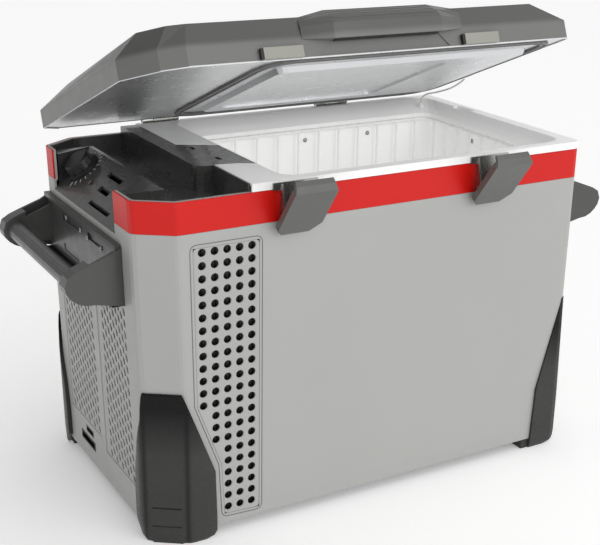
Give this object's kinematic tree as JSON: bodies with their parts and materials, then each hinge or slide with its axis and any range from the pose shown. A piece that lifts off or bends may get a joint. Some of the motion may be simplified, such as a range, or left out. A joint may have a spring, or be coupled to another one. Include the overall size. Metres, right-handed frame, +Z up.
{
  "type": "compressor cooler fridge",
  "caption": "Portable compressor fridge box with hinged insulated lid, wire basket, draw latches, carrying handles, wrap-around feet and a sloping control panel at its vented end.",
  "frame": {"origin": "centre of the bounding box in plan, on the floor under the feet", "axes": "+X along the length from the compressor bay to the far end, -Y the front with the latches, +Z up; the rest pose has the lid 22 degrees open and the latches hanging open"},
  "size_m": [0.781, 0.414, 0.6287],
  "materials": {
    "case_paint": "satin grey coated sheet, lightly textured",
    "base_paint": "black coated sheet",
    "red_plastic": "smooth red trim with a soft shine",
    "white_plastic": "smooth white moulding",
    "insulation": "rigid foamed-in-place insulation",
    "aluminium": "thin rolled sheet",
    "coated_wire": "white plastic coating on wire",
    "black_plastic": "dark moulded plastic, fine grain",
    "knob_plastic": "black moulded plastic",
    "lens": "clear tinted lens",
    "board": "green laminate with components",
    "black_paint": "black enamel on steel",
    "rubber": "soft dark rubber",
    "copper": "drawn copper tube, slightly dull",
    "foot_plastic": "glossy black moulding",
    "handle_plastic": "dark grey moulded plastic",
    "lid_plastic": "dark grey moulded plastic, soft shine",
    "panel_plastic": "silver-grey formed sheet",
    "latch_plastic": "grey moulded plastic",
    "strike_plastic": "warm grey moulded plastic",
    "steel": "plated pressed steel",
    "cord_fibre": "thin braided cord"
  },
  "bodies": {
    "case": {"outer_case": "case_paint", "base_pan": "base_paint", "red_trim_band": "red_plastic", "front_vent_grille": "case_paint", "side_vent_grille_front": "case_paint", "side_vent_grille_back": "case_paint", "inner_liner": "white_plastic", "foam_insulation": "insulation", "evaporator_sheet": "aluminium", "wire_basket": "coated_wire", "tray_cover": "black_plastic", "control_housing": "black_plastic", "indicator_lens": "lens", "control_board": "board", "dc_inlet": "black_plastic", "ac_inlet": "black_plastic", "compressor": "black_paint", "condenser_coil": "aluminium", "fan_shroud": "black_plastic", "fan_motor": "black_paint", "filter_drier": "copper", "discharge_pipe": "copper", "suction_pipe": "copper", "stay_anchor": "white_plastic", "lid_stay_cord": "cord_fibre", "handle_left": "handle_plastic", "handle_bar_left": "handle_plastic", "latch_bracket_left": "steel", "latch_pin_left": "steel", "hinge_body_leaf_left": "steel", "hinge_pin_left": "steel", "foot_front_left": "foot_plastic", "compressor_mount_front_left": "rubber", "foot_back_left": "foot_plastic", "compressor_mount_back_left": "rubber", "handle_right": "handle_plastic", "handle_bar_right": "handle_plastic", "latch_bracket_right": "steel", "latch_pin_right": "steel", "hinge_body_leaf_right": "steel", "hinge_pin_right": "steel", "foot_front_right": "foot_plastic", "compressor_mount_front_right": "rubber", "foot_back_right": "foot_plastic", "compressor_mount_back_right": "rubber"},
    "lid": {"lid_cover": "lid_plastic", "lid_foam": "insulation", "lid_inner_panel": "panel_plastic", "lid_gasket": "rubber", "lid_grip": "lid_plastic", "lid_stay_clip": "white_plastic", "hinge_lid_leaf_left": "steel", "hinge_lid_leaf_right": "steel", "lid_strike_left": "strike_plastic", "lid_strike_right": "strike_plastic"},
    "latch_left": {"latch_paddle_left": "latch_plastic"},
    "latch_right": {"latch_paddle_right": "latch_plastic"},
    "knob": {"temperature_knob": "knob_plastic"},
    "fan": {"fan_blade": "black_plastic"}
  },
  "joints": [
    {"name": "lid_hinge", "type": "hinge", "parent": "case", "child": "lid", "pos_m": [-0.0065, 0.19967, 0.45], "axis": [-1, 0, 0], "range_deg": [-22, 68], "deforming": ["lid_stay_cord"]},
    {"name": "latch_left_pivot", "type": "hinge", "parent": "case", "child": "latch_left", "pos_m": [-0.1265, -0.16183, 0.4059], "axis": [1, 0, 0], "range_deg": [-48, 2]},
    {"name": "latch_right_pivot", "type": "hinge", "parent": "case", "child": "latch_right", "pos_m": [0.1575, -0.16183, 0.4059], "axis": [1, 0, 0], "range_deg": [-48, 2]},
    {"name": "temperature_knob_turn", "type": "hinge", "parent": "case", "child": "knob", "pos_m": [-0.2858, 0.12667, 0.4121], "axis": [-0.609, 0, 0.7932], "range_deg": [-150, 150]},
    {"name": "fan_spin", "type": "hinge", "parent": "case", "child": "fan", "pos_m": [-0.2145, -0.12933, 0.31], "axis": [0, 1, 0], "continuous": true}
  ]
}
